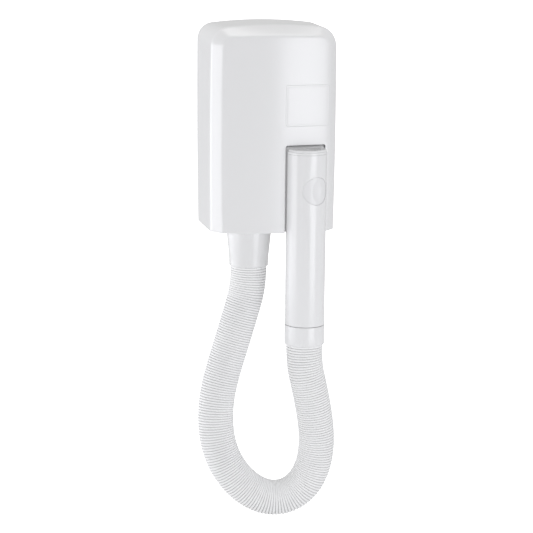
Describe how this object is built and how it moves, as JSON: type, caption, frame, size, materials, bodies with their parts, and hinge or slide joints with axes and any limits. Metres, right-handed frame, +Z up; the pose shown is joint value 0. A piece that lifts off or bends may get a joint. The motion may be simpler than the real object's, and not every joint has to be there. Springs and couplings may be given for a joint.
{
  "type": "wall-mounted hair dryer",
  "caption": "Wall-mounted hair dryer: rounded white housing with fan and heater, ribbed hose, and a tubular handset docked in a slot in the front.",
  "frame": {"origin": "middle of the wall plate's back face", "axes": "+Y into the wall, -Y out of the wall to the front, +X to the right seen from the front, +Z up"},
  "size_m": [0.1639, 0.1288, 0.593],
  "materials": {
    "housing_white": "gloss moulded",
    "handset_white": "gloss moulded",
    "button_white": "satin moulded",
    "socket_white": "gloss moulded",
    "hose_white": "matt, finely ribbed",
    "plate_grey": "fine texture",
    "dock_grey": "matt",
    "rubber_grey": "matt",
    "inner_black": "matt",
    "inner_natural": "satin",
    "filter_mesh": "matt",
    "steel": "satin",
    "magnet_iron": "dull",
    "bush_brass": "satin",
    "brush_carbon": "matt",
    "heater_board": "matt",
    "heater_wire": "satin",
    "board_green": "satin",
    "board_black": "satin"
  },
  "bodies": {
    "housing": {"front_cover": "housing_white", "blank_plate": "housing_white", "hose_socket": "socket_white", "hose": "hose_white", "hose_cuff_wall": "hose_white", "wall_plate": "plate_grey", "cradle_channel": "dock_grey", "saddle_pads": "rubber_grey", "cable_grommet": "rubber_grey", "fan_scroll": "inner_black", "scroll_lid": "inner_black", "duct_adapter": "inner_black", "motor_end_cap": "inner_black", "dock_switch": "inner_black", "terminal_block": "inner_natural", "intake_filter": "filter_mesh", "hanging_peg": "steel", "cover_screws": "steel", "motor_screws": "steel", "plunger_spring": "steel", "motor_can": "steel", "heater_tube": "steel", "thermal_fuse": "steel", "thermostat": "steel", "dock_magnet": "magnet_iron", "motor_magnets": "magnet_iron", "motor_bushes": "bush_brass", "motor_brushes": "brush_carbon", "heater_cross": "heater_board", "heater_coils": "heater_wire", "control_board": "board_green", "board_parts": "board_black"},
    "fan": {"impeller": "inner_black", "motor_rotor": "magnet_iron"},
    "plunger": {"dock_plunger": "inner_black"},
    "handset": {"handset_tube": "handset_white", "nozzle_cap": "handset_white", "nozzle_grille": "handset_white", "peg_bush": "inner_natural", "keeper_plate": "steel", "switch_bracket": "inner_natural", "hand_switch": "inner_black", "button_spring": "steel", "swivel_neck": "inner_natural", "snap_ring": "steel"},
    "button": {"thumb_button": "button_white"},
    "collar": {"swivel_collar": "handset_white", "hose_cuff_hand": "hose_white"}
  },
  "joints": [
    {"name": "handset_pull", "type": "slide", "parent": "housing", "child": "handset", "axis": [0, -1, 0], "range_m": [0, 0.035], "deforming": ["hose"]},
    {"name": "plunger_follow", "type": "slide", "parent": "housing", "child": "plunger", "axis": [0, -1, 0], "range_m": [0, 0.003], "deforming": ["plunger_spring"]},
    {"name": "button_press", "type": "slide", "parent": "handset", "child": "button", "axis": [-0.342, 0.9397, 0], "range_m": [0, 0.0015], "stiffness_N_per_m": 600, "springref_m": -0.001, "deforming": ["button_spring"]},
    {"name": "collar_turn", "type": "hinge", "parent": "handset", "child": "collar", "pos_m": [0.0353, -0.105, -0.24], "axis": [0, 0, 1], "continuous": true, "deforming": ["hose"]},
    {"name": "fan_spin", "type": "hinge", "parent": "housing", "child": "fan", "pos_m": [0.008, -0.05, 0.04], "axis": [0, 1, 0], "continuous": true}
  ],
  "couplings": [
    {"joint": "plunger_follow", "follows": "handset_pull", "ratio": 0.0857}
  ]
}
